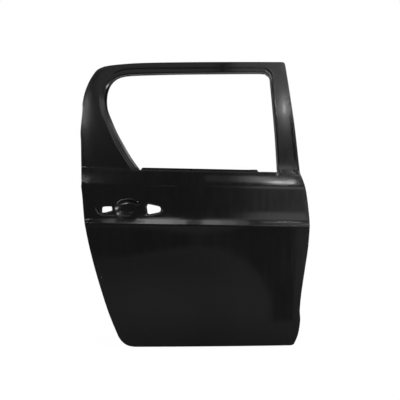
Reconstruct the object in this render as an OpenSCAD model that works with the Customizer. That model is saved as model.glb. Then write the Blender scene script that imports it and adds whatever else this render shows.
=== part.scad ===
/* [Door size] */
// Length from the rear edge to the hinge edge
door_len = 980; // [900:1:1060]
// Height of the body, from the bottom edge to the belt line
body_h = 753; // [700:1:800]
// Height of the window frame above the belt line
frame_h = 479; // [440:1:520]
// Radius of the crown along the door's length
crown_r = 5000; // [4600:10:5600]
// How far the roof end of the frame leans inboard of the crease
lean_in = 208; // [195:1:220]
// How far the belt line lies inboard of the crease
belt_in = 56; // [50:1:60]
// How far the bottom edge tucks in behind the crease
tuck_in = 54; // [46:1:58]
// Fall of the crease towards the hinge edge, in degrees
crease_fall = 0.8; // [0:0.1:1.2]

/* [Pressed sheet] */
// Thickness of the pressed sheets
sheet_t = 1; // [0.8:0.05:1.1]
// Width of the hem that folds over the inner panel
hem_w = 11; // [9:0.5:12]
// Room inside the hem for the inner panel's flange
hem_slot = 1.3; // [1.25:0.05:1.5]
// Clearance of the inner panel's flange in the hem
hem_gap = 0.1; // [0.05:0.05:0.12]

/* [Window frame] */
// Depth of the moulding step around the window
step_d = 4; // [3:0.5:5]
// Depth of the outboard face of the glass run
run_out_d = 12; // [10:0.5:13]
// Width of the glass run channel
run_w = 16; // [14:0.5:18]
// Depth of the glass run channel, back from the window's edge
run_back = 16; // [12:0.5:18]
// Thickness of the channel's metal
run_t = 0.8; // [0.6:0.1:1]
// Thickness of the frame from the skin to its inner face
frame_d = 45; // [42:1:50]
// Height of the belt flange above the skin's edge
belt_flange_h = 10; // [6:0.5:12]
// Depth of the belt flange behind the skin
belt_flange_d = 8; // [6:0.5:9]
// Depth of the sash recess at the belt
sash_d = 2.2; // [1:0.1:2.2]

/* [Inner panel] */
// Inset of the outer wall from the door's edge
wall_in = 13; // [12:0.5:15]
// Width of the weatherstrip shelf
shelf_w = 17; // [15:0.5:19]
// Distance of the shelf inboard of the crease, in the body
shelf_in_y = 77; // [72:1:80]
// Depth of the shelf in the window frame
shelf_frame_d = 20; // [18:1:22]
// Depth of the shelf along the bottom edge
shelf_sill_d = 30; // [26:1:34]
// Distance of the trim face inboard of the crease
face_in = 115; // [110:1:122]
// Top of the inner panel at the belt
inner_belt_z = 126; // [120:1:130]
// Radius of the speaker hole
speaker_r = 80; // [70:1:84]
// Pitch circle diameter of the speaker's screws
speaker_pcd = 180; // [176:1:186]
// Depth of the pressed beads
bead_d = 4; // [2:0.5:5]

/* [Hinges and latch] */
// Height of the lower hinge below the upper one
hinge_drop = 385; // [360:1:400]
// Width of a hinge face
hinge_face_w = 50; // [48:1:50]
// Height of a hinge face
hinge_face_h = 100; // [90:1:104]
// Spacing of the two bolts of a hinge
hinge_bolt_gap = 50; // [44:1:56]
// Radius of the hinge bolt holes
hinge_bolt_r = 5; // [4.2:0.1:5.5]
// Height of the check strap below the upper hinge
check_drop = 140; // [130:1:150]
// Spacing of the check strap's two bolts
check_bolt_gap = 56; // [54:1:60]
// Radius of the check bolt holes
check_bolt_r = 3.5; // [3:0.1:4]
// Depth of the latch below the upper hinge
latch_drop = 35; // [25:1:45]
// Pitch circle diameter of the latch screws
latch_pcd = 50; // [48:1:54]
// Radius of the latch screw holes
latch_screw_r = 3.4; // [3:0.1:3.8]
// Height of the striker slot
striker_slot_h = 26; // [22:1:28]

/* [Outside handle] */
// Length of the handle's ledge
ledge_len = 292; // [280:1:300]
// Depth of the ledge
ledge_d = 2; // [1:0.1:2.2]
// Length of the finger cup
cup_len = 120; // [110:1:124]
// Height of the finger cup
cup_h = 92; // [86:1:96]
// Depth of the finger cup
cup_d = 28; // [22:1:30]

/* [Impact beam] */
// Outer radius of the beam's tube
beam_r = 16; // [14:0.5:18]
// Wall of the beam's tube
beam_wall = 2; // [1.5:0.1:3]
// Height of the beam below the upper hinge
beam_drop = 235; // [225:1:245]

/* [Hidden] */

t = sheet_t;
coat = [0.10, 0.10, 0.10];
coat_inner = [0.13, 0.13, 0.13];
plate_tone = [0.17, 0.17, 0.17];
mastic_tone = [0.30, 0.29, 0.27];

// The drawn size of the shape that the points below give; the door is stretched to its own size
drawn_len = 980;
drawn_body_h = 753;
drawn_frame_h = 479;
drawn_belt_z = 150;

function real_x(x) = x * door_len / drawn_len;
function real_z(z) = z <= drawn_belt_z
    ? z * body_h / drawn_body_h
    : drawn_belt_z * body_h / drawn_body_h + (z - drawn_belt_z) * frame_h / drawn_frame_h;
function drawn_z(z) = z <= real_z(drawn_belt_z)
    ? z * drawn_body_h / body_h
    : drawn_belt_z + (z - real_z(drawn_belt_z)) * drawn_frame_h / frame_h;
function real(p) = [real_x(p[0]), real_z(p[1])];

// Upright section of the skin: height, distance outboard of the crease, slope below and above
section = [
    [-616, -tuck_in, 0.40, 0.40],
    [-540, -31, 0.22, 0.22],
    [-420, -16, 0.05, 0.05],
    [-180, -12, 0.03, 0.03],
    [-84, 0, 0.30, -0.62],
    [-70, -8.6, -0.60, -0.60],
    [-55, -13.7, -0.10, -0.10],
    [75, -23, -0.05, -0.05],
    [88, -26, -0.36, -0.36],
    [130, 12.7 - belt_in, -0.46, -0.46],
    [155, -belt_in, -0.54, -0.30],
    [380, -66 - belt_in, -0.31, -0.31],
    [640, -lean_in, -0.36, -0.36]];
section_steps = [2, 2, 2, 4, 1, 2, 3, 2, 3, 2, 3, 4];

// Cubic curve between two stations of the section
function blend_u(a, b, s) = let (h = b[0] - a[0])
    (2 * s^3 - 3 * s^2 + 1) * a[1] + (s^3 - 2 * s^2 + s) * h * a[3]
    + (3 * s^2 - 2 * s^3) * b[1] + (s^3 - s^2) * h * b[2];
function station(z) = max([for (i = [0:len(section) - 2]) if (i == 0 || section[i][0] <= z) i]);
function skin_u(z) = let (i = station(z), a = section[i], b = section[i + 1])
    z > b[0] ? b[1] + (z - b[0]) * b[3]
    : z < a[0] ? a[1] + (z - a[0]) * a[2]
    : blend_u(a, b, (z - a[0]) / (b[0] - a[0]));
heights = concat([-650],
    [for (i = [0:len(section_steps) - 1]) for (k = [0:section_steps[i] - 1])
        section[i][0] + (section[i + 1][0] - section[i][0]) * k / section_steps[i]],
    [640, 670]);

// Y of the skin's outboard face at a place of the door
function skin_y(x, z) = let (
        xl = x * cos(crease_fall) - z * sin(crease_fall),
        zl = x * sin(crease_fall) + z * cos(crease_fall),
        r = crown_r + skin_u(drawn_z(zl)))
    crown_r - sqrt(r * r - xl * xl);

// Smooth rise from 0 to 1 between two heights
function rise(z, z0, z1) = let (s = min(max((z - z0) / (z1 - z0), 0), 1)) s * s * (3 - 2 * s);

// Upright sections of the inner panel's shelf and trim face: height, distance inboard of the crease
shelf_section = [
    [-650, tuck_in + shelf_sill_d + 4], [-540, shelf_in_y + 3], [-420, shelf_in_y], [60, shelf_in_y],
    [130, shelf_in_y + 5], [190, shelf_in_y + 13], [250, shelf_frame_d + 84],
    [380, shelf_frame_d + 66 + belt_in], [510, shelf_frame_d + 163], [670, shelf_frame_d + lean_in + 11]];
face_section = [
    [-650, face_in], [150, face_in], [200, face_in + 4], [260, frame_d + 89],
    [380, frame_d + 66 + belt_in], [510, frame_d + 163], [670, frame_d + lean_in + 11]];
function sash_recess_d(z) = sash_d - (sash_d - 0.3) * rise(z, 140, 560);

// Height below which the window frame's own layers aren't drawn
frame_low = 90;

// Lines down the door's section, as heights and distances inboard of the crease
function skin_line(d, low = -700) = [for (z = heights) if (z >= low) [z, d - skin_u(z)]];
function sash_line(d) = [for (z = heights) if (z >= frame_low) [z, d + sash_recess_d(z) - skin_u(z)]];
function shelf_line(d) = [for (s = shelf_section) [s[0], s[1] + d]];
function face_line(d) = [for (s = face_section) [s[0], s[1] + d]];
function flat_line(y) = [[-650, y], [670, y]];
function backwards(p) = [for (i = [len(p) - 1:-1:0]) p[i]];

// Layer of the door between two lines of its section, bent round the crown, wider than the door
turn = 17;
module layer(near, far) {
    rotate([0, crease_fall, 0])
        translate([0, crown_r, 0])
            rotate([0, 0, -90 - turn / 2])
                rotate_extrude(angle = turn, $fn = 256)
                    polygon([for (p = concat(near, backwards(far))) [crown_r - p[1], real_z(p[0])]]);
}

// Upright drawing carried along Y
module prism(y0 = -80, y1 = 340) {
    translate([0, y1, 0])
        rotate([90, 0, 0])
            linear_extrude(y1 - y0)
                children();
}

module between(near, far) {
    intersection() {
        layer(near, far);
        prism() children();
    }
}

// Smooth chain through points, without its last point
function mid(a, b, c, d, s) = 0.5 * (2 * b + (c - a) * s + (2 * a - 5 * b + 4 * c - d) * s^2
    + (3 * b - a - 3 * c + d) * s^3);
function chain(p, n) = [for (i = [0:len(p) - 2]) for (k = [0:n - 1])
    mid(p[max(i - 1, 0)], p[i], p[i + 1], p[min(i + 2, len(p) - 1)], k / n)];

// Edge of the door, stretch by stretch, clockwise as seen from outside
edge_top = [[-398, 609], [-348, 616], [-243, 623], [-58, 626], [206, 628], [384, 629]];
edge_roof_corner = [[384, 629], [393, 625], [397, 611]];
edge_front_frame = [[397, 611], [409, 519], [430, 341], [445, 166], [449, 133]];
edge_front_body = [[449, 133], [462, 97], [473, 50], [483, -35], [485, -85], [480, -174],
    [465, -275], [450, -377], [444, -445], [446, -490], [438, -548], [425, -583]];
edge_front_corner = [[425, -583], [419, -594], [408, -598]];
edge_sill = [[408, -598], [21, -601], [-234, -603.5]];
edge_rear_corner = [[-234, -603.5], [-262, -603], [-288, -597], [-309, -582], [-325, -560]];
edge_wheel_arch = [[-325, -560], [-364, -461], [-397, -360], [-427, -258], [-452, -157],
    [-470, -55], [-478, 29], [-484, 80]];
edge_rear_frame = [[-484, 80], [-483, 97], [-487, 166], [-492, 271], [-495, 320], [-490, 405], [-491, 440]];
edge_rear_roof = [[-491, 440], [-484, 484], [-473, 520], [-457, 556], [-431, 593], [-398, 609]];

door_edge = [for (p = concat(chain(edge_top, 2), chain(edge_roof_corner, 2),
    chain(edge_front_frame, 3), chain(edge_front_body, 3), chain(edge_front_corner, 2),
    chain(edge_sill, 1), chain(edge_rear_corner, 3), chain(edge_wheel_arch, 2),
    chain(edge_rear_frame, 2), chain(edge_rear_roof, 3))) real(p)];
front_edge = [for (p = concat(chain(edge_front_frame, 3), chain(edge_front_body, 3))) real(p)];
rear_edge = [for (p = concat(chain(edge_wheel_arch, 2), chain(edge_rear_frame, 2))) real(p)];
function front_x(z) = lookup(z, [for (p = front_edge) [p[1], p[0]]]);
function rear_x(z) = lookup(z, [for (p = rear_edge) [p[1], p[0]]]);

// Window, as pairs of points: the edge of the skin and the edge that light passes
window_pairs = [
    [[-264, 150], [-236, 150]],
    [[-299, 200], [-274, 202]],
    [[-333, 254], [-306, 256]],
    [[-364, 317], [-338, 312]],
    [[-388, 374], [-364, 370]],
    [[-403, 415], [-381, 413]],
    [[-410, 462], [-386, 452]],
    [[-402, 508], [-383, 490]],
    [[-384, 547], [-371, 524]],
    [[-358, 574], [-345, 552]],
    [[-318, 591], [-306, 565]],
    [[-250, 597], [-240, 569]],
    [[-60, 598], [-60, 573]],
    [[130, 599], [130, 575]],
    [[292, 599], [288, 577]],
    [[316, 593], [311, 571]],
    [[331, 577], [325, 559]],
    [[337, 546], [329, 530]],
    [[345, 410], [338, 400]],
    [[352, 290], [345, 290]],
    [[357, 180], [350, 170]],
    [[359, 137], [352, 137]]];
lip_k = 0.66;
function window_line(k) = [for (p = concat(
    chain([for (w = window_pairs) w[0] + (w[1] - w[0]) * k], 2),
    [window_pairs[len(window_pairs) - 1][0] * (1 - k) + window_pairs[len(window_pairs) - 1][1] * k])) real(p)];
belt_rear = real(window_pairs[0][0]);
belt_front = real(window_pairs[len(window_pairs) - 1][0]);
function belt_z(x) = belt_rear[1] + (belt_front[1] - belt_rear[1]) * (x - belt_rear[0]) / (belt_front[0] - belt_rear[0]);

module door() { polygon(door_edge); }
module inset(d) { offset(delta = -d) door(); }
module window(k) { polygon(window_line(k)); }
module above(z) { translate([-700, z]) square([1400, 900]); }
// Strip along the belt line, from one height to another above it
module belt_strip(x0, x1, low, high) {
    polygon([[x0, belt_z(x0) + low], [x1, belt_z(x1) + low], [x1, belt_z(x1) + high], [x0, belt_z(x0) + high]]);
}

shelf_in = wall_in + shelf_w;
run_in_d = run_out_d + run_w;

// Places of the hinges, check strap and latch: their faces stand a little outboard of the end walls,
// with their middles a fixed distance inboard of the skin
face_back = 2;
hinge_in = 31;
latch_in = 38;
hinge_x = front_x(hinge_face_h / 2) - wall_in - face_back;
hinge_y = skin_y(hinge_x, 0) + hinge_in;
lower_hinge_x = front_x(-hinge_drop - hinge_face_h / 2) - wall_in - face_back;
lower_hinge_y = skin_y(lower_hinge_x, -hinge_drop) + hinge_in;
check_face_h = 84;
check_x = front_x(-check_drop - check_face_h / 2) - wall_in - face_back;
check_y = skin_y(check_x, -check_drop) + hinge_in;
latch_face_h = 84;
latch_face_w = 52;
latch_x = rear_x(-latch_drop - latch_face_h / 2) + wall_in + face_back;
latch_y = skin_y(latch_x, -latch_drop) + latch_in;

module place() {
    translate([-hinge_x, -hinge_y, 0]) children();
}

// Outside handle: ledge, finger cup and the two openings beside it
handle_x = real_x(-284);
handle_z = real_z(-17);
module ledge() {
    translate([handle_x, handle_z])
        polygon([for (p = [[-0.5, -2], [-0.5, 6], [-0.46, 20], [-0.36, 28], [0, 32], [0.4, 33],
                [0.48, 27], [0.5, 8], [0.49, -6], [0.44, -18], [0.3, -27], [0, -30],
                [-0.4, -28], [-0.46, -20]])
            [p[0] * ledge_len + 8, p[1]]]);
}
module cup_mouth(grow = 0) {
    translate([handle_x, handle_z - 2])
        scale([cup_len / cup_h, 1])
            circle(d = cup_h + 2 * grow, $fn = 64);
}
cup_tilt_y = 5;
module cup_ball(grow) {
    y = skin_y(handle_x, handle_z) - cup_tilt_y;
    k = sqrt(1 - pow(cup_tilt_y / (cup_d + cup_tilt_y), 2));
    translate([handle_x, y, handle_z - 2])
        scale([cup_len / 2 / k + grow, cup_d + cup_tilt_y + grow, cup_h / 2 / k + grow])
            sphere(r = 1, $fn = 72);
}
rear_hole = [[-109, 5], [-106, 10], [-92, 12], [-67, 12], [-67, -8], [-92, -15], [-107, -17], [-110, -12]];
front_hole = [[79, 10], [84, 22], [103, 19], [134, 12], [141, 4], [140, -10], [132, -15], [94, -23], [84, -21], [81, -3]];
module handle_holes(grow = 0) {
    translate([handle_x, handle_z]) {
        offset(delta = grow) polygon(rear_hole);
        offset(delta = grow) polygon(front_hole);
    }
}

// Front sash recess, inside the hem
module sash() {
    intersection() {
        inset(wall_in + 3);
        polygon([real([348, 129]), real([460, 129]), real([430, 560]), real([332, 560])]);
    }
}
garnish_hole = real([424, 143]);

module outer_panel() {
    hem_d = 2 * t + hem_slot;
    flange_rear = real_x(-226);
    flange_front = real_x(251);
    color(coat) place() {
        difference() {
            union() {
                between(skin_line(0), skin_line(hem_d)) door();
                between(skin_line(0.5, frame_low), skin_line(step_d + t, frame_low)) offset(delta = t) window(0);
                between(skin_line(step_d + 0.4, frame_low), skin_line(run_out_d, frame_low)) difference() {
                    offset(delta = t) window(lip_k);
                    belt_strip(real_x(-300), real_x(400), -10, 0.5);
                }
                intersection() {
                    layer(skin_line(0.5), flat_line(90));
                    cup_ball(t);
                }
            }
            between(skin_line(t), skin_line(t + hem_slot)) difference() {
                inset(t);
                pressed_zones();
            }
            between(skin_line(t + 0.4), flat_line(300)) difference() {
                inset(hem_w);
                pressed_zones();
            }
            between(flat_line(-60), sash_line(0)) sash();
            between(sash_line(t), flat_line(300)) difference() {
                sash();
                offset(delta = t) window(0);
            }
            between(flat_line(-60), skin_line(ledge_d)) ledge();
            between(skin_line(ledge_d + t), flat_line(90)) difference() {
                offset(delta = t) ledge();
                cup_mouth(t);
            }
            between(flat_line(-60), skin_line(step_d, frame_low)) window(0);
            prism() window(lip_k);
            cup_ball(0);
            prism() handle_holes();
            translate([garnish_hole[0], 0, garnish_hole[1]]) rotate([-90, 0, 0]) cylinder(r = 2.5, h = 200);
        }
        difference() {
            between(skin_line(0.5, frame_low), skin_line(belt_flange_d + t, frame_low))
                belt_strip(flange_rear, flange_front, -t, belt_flange_h);
            between(flat_line(-60), skin_line(belt_flange_d, frame_low))
                belt_strip(flange_rear - 5, flange_front + 5, 0, belt_flange_h + 5);
        }
    }
}

// Where the skin is pressed in behind its hem depth
module pressed_zones() {
    offset(delta = t) window(0);
    offset(delta = t) sash();
    offset(delta = t) ledge();
    cup_mouth(t);
}

// Flat faces pressed into the end walls for the hinges, the check strap and the latch
module end_faces(grow) {
    for (f = [[hinge_x, hinge_y, 0, hinge_face_w, hinge_face_h],
              [lower_hinge_x, lower_hinge_y, -hinge_drop, hinge_face_w, hinge_face_h],
              [check_x, check_y, -check_drop, hinge_face_w, check_face_h]])
        translate([f[0] - grow, f[1] - f[3] / 2 - grow, f[2] - f[4] / 2 - grow])
            cube([80, f[3] + 2 * grow, f[4] + 2 * grow]);
    translate([latch_x - 80 + grow, latch_y - 32 - grow, -latch_drop - latch_face_h / 2 - grow])
        cube([80, latch_face_w + 2 * grow, latch_face_h + 2 * grow]);
}

// Service openings of the inner panel
module rear_service() {
    polygon(concat(
        arc(-366, 14, 42, 90, 180), arc(-366, -63, 42, 180, 260),
        arc(-130, -67, 38, 280, 360), arc(-130, 16, 38, 0, 90)));
}
module front_service() {
    polygon(concat(
        arc(0, -6, 40, 90, 180), arc(0, -250, 40, 180, 270),
        arc(290, -218, 40, 270, 360), arc(290, -6, 40, 0, 90)));
}
module lower_service() {
    polygon(concat(
        arc(-262, -220, 36, 90, 180), arc(-210, -408, 36, 190, 270),
        arc(-24, -408, 36, 270, 360), arc(-76, -220, 36, 0, 90)));
}
function arc(x, z, r, a0, a1) = [for (k = [0:6]) let (a = a0 + (a1 - a0) * k / 6)
    [real_x(x) + r * cos(a), real_z(z) + r * sin(a)]];
speaker_at = real([212, -432]);
speaker_ring_r = speaker_pcd / 2 + 10;
function face_y(x, z) = let (xl = x * cos(crease_fall) - z * sin(crease_fall))
    crown_r - sqrt(pow(crown_r - face_in, 2) - xl * xl);
speaker_y = face_y(speaker_at[0] + speaker_ring_r, speaker_at[1]) + 2;
module speaker_zone(r) { translate(speaker_at) circle(r = r, $fn = 64); }

// Pressed beads of the trim face
module beads() {
    polygon(concat(arc(20, 96, 8, 90, 270), arc(300, 96, 8, -90, 90)));
    polygon(concat(arc(-330, 96, 8, 90, 270), arc(-90, 96, 8, -90, 90)));
    polygon(concat(arc(-190, -500, 9, 90, 270), arc(20, -500, 9, -90, 90)));
}

module window_opening(grow = 0) {
    offset(delta = grow) {
        window(1);
        polygon([real([-236, 150.5]), [real_x(-222), inner_belt_z], [real_x(352), inner_belt_z], real([352, 137.5])]);
    }
}

// The inner pressing is made of three sheets, welded edge to edge: the window frame's inner member,
// the strip that carries the hinges, and the rest of the inner panel
seam_gap = 0.3;
belt_seam_z = inner_belt_z + 2;
hinge_seam_x = real_x(341);
module inner_panel() {
    color(coat_inner) place()
        difference() {
            inner_pressing();
            prism() above(belt_seam_z);
            prism() translate([hinge_seam_x, -800]) square([400, 1600]);
        }
}
module inner_hinge_side() {
    color(coat_inner) place()
        difference() {
            inner_pressing();
            prism() above(belt_seam_z);
            prism() translate([hinge_seam_x + seam_gap - 1400, -800]) square([1400, 1600]);
        }
}
module inner_frame() {
    color(coat_inner) place()
        difference() {
            inner_pressing();
            prism() translate([-700, belt_seam_z + seam_gap - 900]) square([1400, 900]);
        }
}
belt_lip = 8;
module inner_pressing() {
    flange_d = t + hem_gap;
    difference() {
        union() {
            between(skin_line(flange_d), skin_line(t + hem_slot - hem_gap)) inset(t + 0.3);
            between(skin_line(flange_d + 0.4), shelf_line(0)) inset(wall_in);
            between(shelf_line(-12), face_line(0)) difference() {
                inset(shelf_in);
                trim_openings();
            }
            between(face_line(-10), face_line(bead_d)) difference() {
                beads();
                trim_openings();
            }
            prism(face_in - 10, speaker_y) difference() {
                speaker_zone(speaker_ring_r);
                trim_openings();
            }
        }
        end_faces(0);
        difference() {
            union() {
                between(flat_line(-60), shelf_line(-t)) inset(wall_in + t);
                between(shelf_line(-16), face_line(-t)) inset(shelf_in + t);
                between(face_line(-20), face_line(bead_d - t)) offset(delta = -t) beads();
                prism(face_in - 20, speaker_y - t) speaker_zone(speaker_ring_r - t);
            }
            end_faces(t);
            between(skin_line(run_in_d, frame_low), flat_line(320)) intersection() {
                window_opening(t);
                above(inner_belt_z);
            }
            between(skin_line(run_in_d, frame_low), skin_line(run_in_d + t, frame_low)) intersection() {
                window_opening(run_back - 2);
                above(inner_belt_z);
            }
            between(face_line(-t - belt_lip), flat_line(320))
                translate([real_x(-300), inner_belt_z - t]) square([real_x(700), t]);
        }
        prism() window_opening();
        end_holes();
    }
}

// Openings and holes through the trim face
module trim_openings() {
    rear_service();
    front_service();
    lower_service();
    speaker_zone(speaker_r);
    for (a = [45:90:315])
        translate(speaker_at + speaker_pcd / 2 * [cos(a), sin(a)]) circle(r = 2.2, $fn = 32);
    for (z = [95, -120, -300, -430, -520])
        translate([rear_x(real_z(z)) + shelf_in + clip_in, real_z(z)]) circle(r = 4, $fn = 32);
    for (z = [95, -120, -300, -470])
        translate([front_x(real_z(z)) - shelf_in - clip_in, real_z(z)]) circle(r = 4, $fn = 32);
    for (x = [60, 330])
        translate([real_x(x), real_z(-600) + shelf_in + clip_in]) circle(r = 4, $fn = 32);
}
clip_in = 14;

// Holes of the end faces, and the drains along the bottom
module end_holes() {
    for (h = [[hinge_x, hinge_y, 0], [lower_hinge_x, lower_hinge_y, -hinge_drop]])
        for (s = [-1, 1])
            translate([h[0] - 20, h[1], h[2] + s * hinge_bolt_gap / 2])
                rotate([0, 90, 0]) cylinder(r = hinge_bolt_r, h = 40);
    for (s = [-1, 1])
        translate([check_x - 20, check_y, -check_drop + s * check_bolt_gap / 2])
            rotate([0, 90, 0]) cylinder(r = check_bolt_r, h = 40);
    translate([check_x - 20, check_y - 12, -check_drop - 18]) cube([40, 24, 36]);
    for (a = [180, 60, -60])
        translate([latch_x - 20, latch_y + latch_pcd / 2 * cos(a), -latch_drop + latch_pcd / 2 * sin(a)])
            rotate([0, 90, 0]) cylinder(r = latch_screw_r, h = 25);
    translate([latch_x - 40, latch_y - 8, -latch_drop - striker_slot_h / 2]) cube([50, 60, striker_slot_h]);
    for (x = [-180, 40, 260])
        translate([real_x(x) - 14, 64, real_z(-640)]) cube([28, 8, 56]);
}

// Glass run around the window, set between the two panels
module run_section() {
    difference() {
        between(skin_line(run_out_d, frame_low), skin_line(run_in_d, frame_low)) offset(delta = run_back) window(1);
        between(skin_line(run_out_d + run_t, frame_low), skin_line(run_in_d - run_t, frame_low))
            offset(delta = run_back - run_t) window(1);
        between(flat_line(-60), skin_line(run_out_d + run_w / 2, frame_low)) window(lip_k);
        prism() window(1);
    }
}
corner_split = real([313, 573]);
module front_side() {
    polygon([corner_split, corner_split + [200, 200], [800, 900], [800, 0], [real_x(200), 0],
        [real_x(200), corner_split[1] - 60]]);
}
run_foot_z = inner_belt_z + 2;
// Between the two runs the glass passes the belt line freely
module glass_gap() {
    polygon([real([-236, 150.5]), [real_x(-222), inner_belt_z - 10], [real_x(352), inner_belt_z - 10], real([352, 137.5])]);
}
module header_run_channel() {
    color(plate_tone) place()
        intersection() {
            run_section();
            prism() difference() {
                above(run_foot_z);
                offset(delta = 0.2) front_side();
                glass_gap();
            }
        }
}
module front_run_channel() {
    color(plate_tone) place()
        intersection() {
            run_section();
            prism() difference() {
                intersection() {
                    above(run_foot_z);
                    front_side();
                }
                glass_gap();
            }
        }
}

// Lower guides: straight channels that carry the glass down inside the door
guide_end_z = real_z(-150);
guide_lean = 0.06;
guide_front_x = real_x(353);
guide_rear_x = real_x(-237);
function guide_y(z) = skin_y(0, inner_belt_z) + 36 - (inner_belt_z - z) * 0.085;
module guide(x, side) {
    top = [x, guide_y(run_foot_z - 4), run_foot_z - 4];
    foot = [x + guide_lean * (top[2] - guide_end_z), guide_y(guide_end_z), guide_end_z];
    way = foot - top;
    translate(top)
        rotate([0, 180 - asin(way[0] / norm(way)), 0])
            rotate([-asin(way[1] / norm(way)), 0, 0])
                linear_extrude(norm(way))
                    polygon([[0, -run_w / 2], [-side * run_back, -run_w / 2],
                        [-side * run_back, run_w / 2], [0, run_w / 2],
                        [0, run_w / 2 - run_t], [-side * (run_back - run_t), run_w / 2 - run_t],
                        [-side * (run_back - run_t), run_t - run_w / 2], [0, run_t - run_w / 2]]);
}
module front_lower_guide() {
    color(plate_tone) place() guide(guide_front_x, 1);
}
module rear_lower_guide() {
    color(plate_tone) place() guide(guide_rear_x, -1);
}

// Plate that carries a lower guide's foot from the trim face
bracket_t = 1.5;
module guide_bracket(x, side) {
    z = guide_end_z + 20;
    gx = x + guide_lean * (run_foot_z - z) + side * (run_back / 2);
    gy = guide_y(z + 15) + run_w / 2 + 0.3;
    intersection() {
        union() {
            translate([gx - 10, gy, z - 15]) cube([20, bracket_t, 30]);
            translate([gx + side * 10 - (side > 0 ? bracket_t : 0), gy, z - 15]) cube([bracket_t, 90, 30]);
            between(face_line(-t - bracket_t), face_line(20))
                translate([side > 0 ? gx + 10 - bracket_t : gx - 34, z - 15]) square([24 + bracket_t, 30]);
        }
        layer(flat_line(-60), face_line(-t));
    }
}
module front_guide_bracket() {
    color(plate_tone) place() guide_bracket(guide_front_x, 1);
}
module rear_guide_bracket() {
    color(plate_tone) place() guide_bracket(guide_rear_x, -1);
}

// Belt reinforcements, one behind each panel
belt_rear_x = real_x(-255);
belt_front_x = real_x(345);
module outer_belt_reinforcement() {
    d = belt_flange_d + t;
    foot = t + 0.3;
    color(plate_tone) place()
        difference() {
            between(skin_line(foot, 0), skin_line(d + t, 0)) union() {
                belt_strip(real_x(-222), real_x(247), -50, belt_flange_h - 2);
                belt_strip(belt_rear_x, belt_front_x, -64, -3);
            }
            between(flat_line(-60), skin_line(d, 0)) belt_strip(belt_rear_x - 5, belt_front_x + 5, -50 + t, 40);
            between(skin_line(foot + t, 0), flat_line(160)) belt_strip(belt_rear_x - 5, belt_front_x + 5, -80, -50);
        }
}
hat_d = 24;
hat_low = 72;
module inner_belt_reinforcement() {
    x0 = rear_x(real_z(100)) + shelf_in + 8;
    x1 = front_x(real_z(110)) - shelf_in - 6;
    z1 = inner_belt_z - 3;
    color(plate_tone) place()
        difference() {
            between(face_line(-t - hat_d), face_line(-t))
                translate([x0, hat_low - 12]) square([x1 - x0, z1 - hat_low + 12]);
            between(flat_line(20), face_line(-2 * t))
                translate([x0 - 1, hat_low - 13]) square([x1 - x0 + 2, 13]);
            between(face_line(-hat_d), flat_line(200))
                translate([x0 - 1, hat_low + t]) square([x1 - x0 + 2, z1 - hat_low - 2 * t]);
        }
}

// Impact beam and what holds it
beam_y = skin_y(front_x(-beam_drop) - 30, -beam_drop) + t + 2 + beam_r;
beam_x0 = rear_x(-beam_drop) + 70;
beam_x1 = front_x(-beam_drop) - 60;
module impact_beam() {
    color(plate_tone) place()
        translate([beam_x0, beam_y, -beam_drop]) rotate([0, 90, 0])
            difference() {
                cylinder(r = beam_r, h = beam_x1 - beam_x0);
                translate([0, 0, -1]) cylinder(r = beam_r - beam_wall, h = beam_x1 - beam_x0 + 2);
            }
}
beam_plate_t = 2;
module beam_bracket(x_end, side) {
    y = beam_y + beam_r;
    x_far = side > 0 ? front_x(-beam_drop) + 20 : rear_x(-beam_drop) - 20;
    x_in = x_end - side * 60;
    x_low = min(x_in, x_far);
    w = abs(x_far - x_in);
    intersection() {
        translate([x_low, y, -beam_drop - 45]) cube([w, beam_plate_t, 90]);
        prism() inset(wall_in + t + 0.3);
    }
    intersection() {
        translate([x_low, y - 26, -beam_drop - 45]) cube([w, 26 + beam_plate_t, 90]);
        prism() difference() {
            inset(wall_in + t + 0.3);
            inset(wall_in + t + 0.3 + beam_plate_t);
        }
    }
}
module beam_front_bracket() {
    color(plate_tone) place() beam_bracket(beam_x1, 1);
}
module beam_rear_bracket() {
    color(plate_tone) place() beam_bracket(beam_x0, -1);
}
module beam_mastic_pads() {
    color(mastic_tone) place()
        for (x = [-285, -57, 171])
            intersection() {
                layer(skin_line(t), flat_line(120));
                translate([real_x(x) - 20, 0, -beam_drop - 9]) cube([40, beam_y - beam_r, 18]);
            }
}

// Reinforcement plates behind the hinge faces, and the plates that hold the captive nuts
hinge_plate_t = 2.5;
nut_plate_t = 5;
nut_hole_r = 4;
module hinge_plate(x, y, z, thick, w, h, hole_r) {
    difference() {
        translate([x - thick, y - w / 2, z - h / 2]) cube([thick, w, h]);
        for (s = [-1, 1])
            translate([x - thick - 1, y, z + s * hinge_bolt_gap / 2])
                rotate([0, 90, 0]) cylinder(r = hole_r, h = thick + 2);
    }
}
module upper_hinge_reinforcement() {
    color(plate_tone) place()
        hinge_plate(hinge_x - t, hinge_y, 0, hinge_plate_t,
            hinge_face_w - 4, hinge_face_h - 4, hinge_bolt_r + 0.5);
}
module lower_hinge_reinforcement() {
    color(plate_tone) place()
        hinge_plate(lower_hinge_x - t, lower_hinge_y, -hinge_drop, hinge_plate_t,
            hinge_face_w - 4, hinge_face_h - 4, hinge_bolt_r + 0.5);
}
module upper_hinge_nut_plate() {
    color(plate_tone) place()
        hinge_plate(hinge_x - t - hinge_plate_t, hinge_y, 0, nut_plate_t,
            26, hinge_bolt_gap + 26, nut_hole_r);
}
module lower_hinge_nut_plate() {
    color(plate_tone) place()
        hinge_plate(lower_hinge_x - t - hinge_plate_t, lower_hinge_y, -hinge_drop, nut_plate_t,
            26, hinge_bolt_gap + 26, nut_hole_r);
}
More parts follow.
